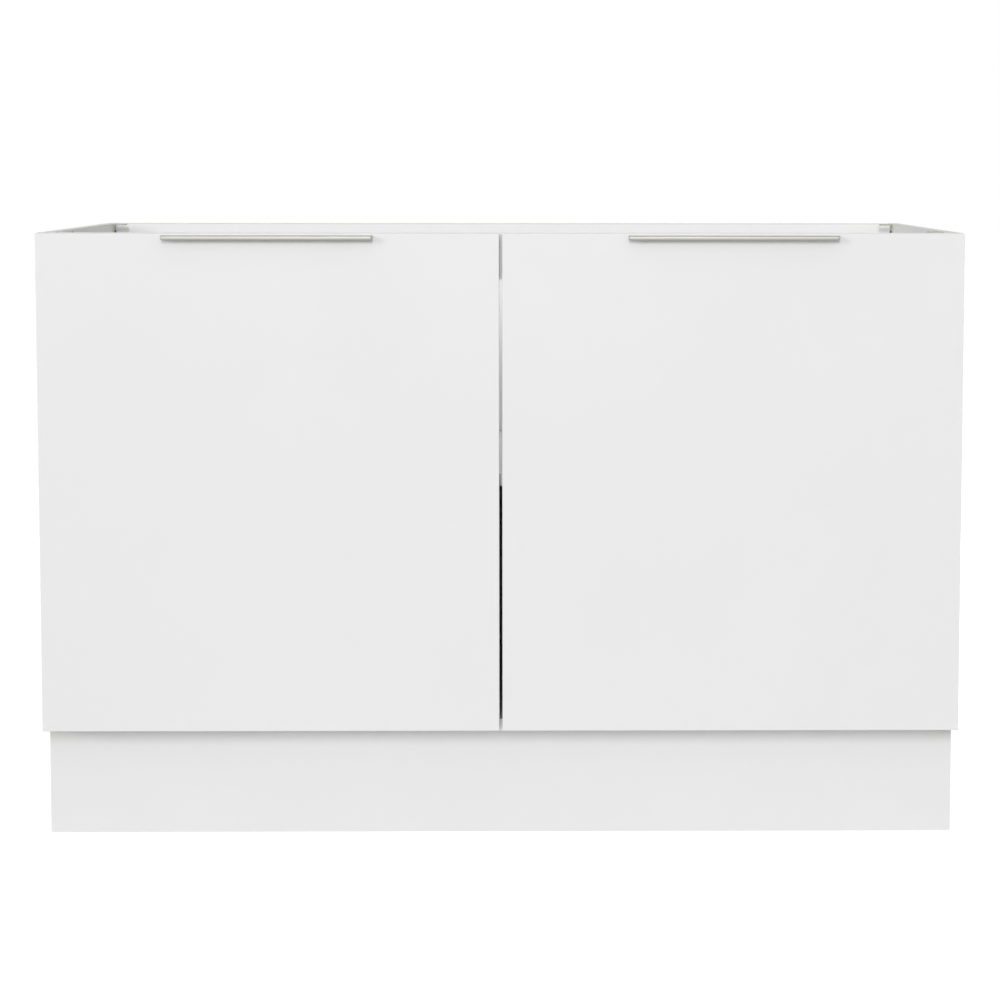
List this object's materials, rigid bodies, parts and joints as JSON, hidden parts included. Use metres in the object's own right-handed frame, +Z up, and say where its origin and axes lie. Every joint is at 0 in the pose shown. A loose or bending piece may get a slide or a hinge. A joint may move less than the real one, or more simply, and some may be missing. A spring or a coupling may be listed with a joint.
{
  "type": "kitchen base cabinet",
  "caption": "Wide white kitchen base cabinet with hinged doors, slim metal edge pulls, an inner shelf, a recessed plinth and levelling legs, open at the top for a worktop.",
  "frame": {"origin": "middle of the outline on the floor, halfway between the handle fronts and the rear edges", "axes": "+X along the width to the right seen from the front, +Y to the back, +Z up"},
  "size_m": [1.2, 0.592, 0.8],
  "materials": {
    "white_board": "white melamine faced chipboard, satin",
    "back_board": "white faced fibreboard",
    "handle_metal": "fine brushed",
    "hinge_steel": "nickel plated",
    "screw_steel": "zinc plated",
    "bracket_steel": "pale coated sheet",
    "dowel_wood": "plain beech",
    "leg_plastic": "black moulded",
    "bumper_soft": "clear soft pad"
  },
  "bodies": {
    "carcass": {"left_side_panel": "white_board", "right_side_panel": "white_board", "bottom_panel": "white_board", "shelf": "white_board", "front_rail": "white_board", "rear_rail": "white_board", "back_panel": "back_board", "plinth_board": "white_board", "dowels": "dowel_wood", "cam_bolts": "screw_steel", "cam_discs": "screw_steel", "shelf_pins": "screw_steel", "worktop_brackets": "bracket_steel", "bracket_screws": "screw_steel", "hinge_plate_screws": "screw_steel", "hinge_arm_pins": "hinge_steel", "leg_sleeves": "leg_plastic", "leg_screws": "screw_steel", "plinth_clips": "leg_plastic", "left_upper_hinge_plate": "hinge_steel", "left_lower_hinge_plate": "hinge_steel", "left_upper_hinge_arm": "hinge_steel", "left_lower_hinge_arm": "hinge_steel", "right_upper_hinge_plate": "hinge_steel", "right_lower_hinge_plate": "hinge_steel", "right_upper_hinge_arm": "hinge_steel", "right_lower_hinge_arm": "hinge_steel"},
    "left_long_links": {"left_upper_hinge_long_link": "hinge_steel", "left_lower_hinge_long_link": "hinge_steel"},
    "left_door": {"left_door": "white_board", "left_handle": "handle_metal", "left_handle_screws": "screw_steel", "left_door_bumpers": "bumper_soft", "left_hinge_cup_pins": "hinge_steel", "left_hinge_cup_screws": "screw_steel", "left_upper_hinge_cup": "hinge_steel", "left_lower_hinge_cup": "hinge_steel"},
    "left_short_links": {"left_upper_hinge_short_link": "hinge_steel", "left_lower_hinge_short_link": "hinge_steel"},
    "right_long_links": {"right_upper_hinge_long_link": "hinge_steel", "right_lower_hinge_long_link": "hinge_steel"},
    "right_door": {"right_door": "white_board", "right_handle": "handle_metal", "right_handle_screws": "screw_steel", "right_door_bumpers": "bumper_soft", "right_hinge_cup_pins": "hinge_steel", "right_hinge_cup_screws": "screw_steel", "right_upper_hinge_cup": "hinge_steel", "right_lower_hinge_cup": "hinge_steel"},
    "right_short_links": {"right_upper_hinge_short_link": "hinge_steel", "right_lower_hinge_short_link": "hinge_steel"},
    "foot_front_left": {"foot_front_left": "leg_plastic"},
    "foot_front_middle": {"foot_front_middle": "leg_plastic"},
    "foot_front_right": {"foot_front_right": "leg_plastic"},
    "foot_rear_left": {"foot_rear_left": "leg_plastic"},
    "foot_rear_middle": {"foot_rear_middle": "leg_plastic"},
    "foot_rear_right": {"foot_rear_right": "leg_plastic"}
  },
  "joints": [
    {"name": "left_long_link_pivot", "type": "hinge", "parent": "carcass", "child": "left_long_links", "pos_m": [-0.566, -0.255, 0.4745], "axis": [0, 0, 1], "range_deg": [0, 33.3]},
    {"name": "left_door_swing", "type": "hinge", "parent": "left_long_links", "child": "left_door", "pos_m": [-0.588, -0.2684, 0.4745], "axis": [0, 0, -1], "range_deg": [0, 128.25]},
    {"name": "left_short_link_pivot", "type": "hinge", "parent": "carcass", "child": "left_short_links", "pos_m": [-0.564, -0.2726, 0.4745], "axis": [0, 0, 1], "range_deg": [0, 50.4]},
    {"name": "right_long_link_pivot", "type": "hinge", "parent": "carcass", "child": "right_long_links", "pos_m": [0.566, -0.255, 0.4745], "axis": [0, 0, -1], "range_deg": [0, 33.3]},
    {"name": "right_door_swing", "type": "hinge", "parent": "right_long_links", "child": "right_door", "pos_m": [0.588, -0.2684, 0.4745], "axis": [0, 0, 1], "range_deg": [0, 128.25]},
    {"name": "right_short_link_pivot", "type": "hinge", "parent": "carcass", "child": "right_short_links", "pos_m": [0.564, -0.2726, 0.4745], "axis": [0, 0, -1], "range_deg": [0, 50.4]},
    {"name": "foot_front_left_screw", "type": "slide", "parent": "carcass", "child": "foot_front_left", "axis": [0, 0, -1], "range_m": [0, 0.02]},
    {"name": "foot_front_middle_screw", "type": "slide", "parent": "carcass", "child": "foot_front_middle", "axis": [0, 0, -1], "range_m": [0, 0.02]},
    {"name": "foot_front_right_screw", "type": "slide", "parent": "carcass", "child": "foot_front_right", "axis": [0, 0, -1], "range_m": [0, 0.02]},
    {"name": "foot_rear_left_screw", "type": "slide", "parent": "carcass", "child": "foot_rear_left", "axis": [0, 0, -1], "range_m": [0, 0.02]},
    {"name": "foot_rear_middle_screw", "type": "slide", "parent": "carcass", "child": "foot_rear_middle", "axis": [0, 0, -1], "range_m": [0, 0.02]},
    {"name": "foot_rear_right_screw", "type": "slide", "parent": "carcass", "child": "foot_rear_right", "axis": [0, 0, -1], "range_m": [0, 0.02]}
  ],
  "couplings": [
    {"joint": "left_long_link_pivot", "follows": "left_door_swing", "ratio": 0.25926},
    {"joint": "left_short_link_pivot", "follows": "left_door_swing", "ratio": 0.39259},
    {"joint": "right_long_link_pivot", "follows": "right_door_swing", "ratio": 0.25926},
    {"joint": "right_short_link_pivot", "follows": "right_door_swing", "ratio": 0.39259}
  ]
}
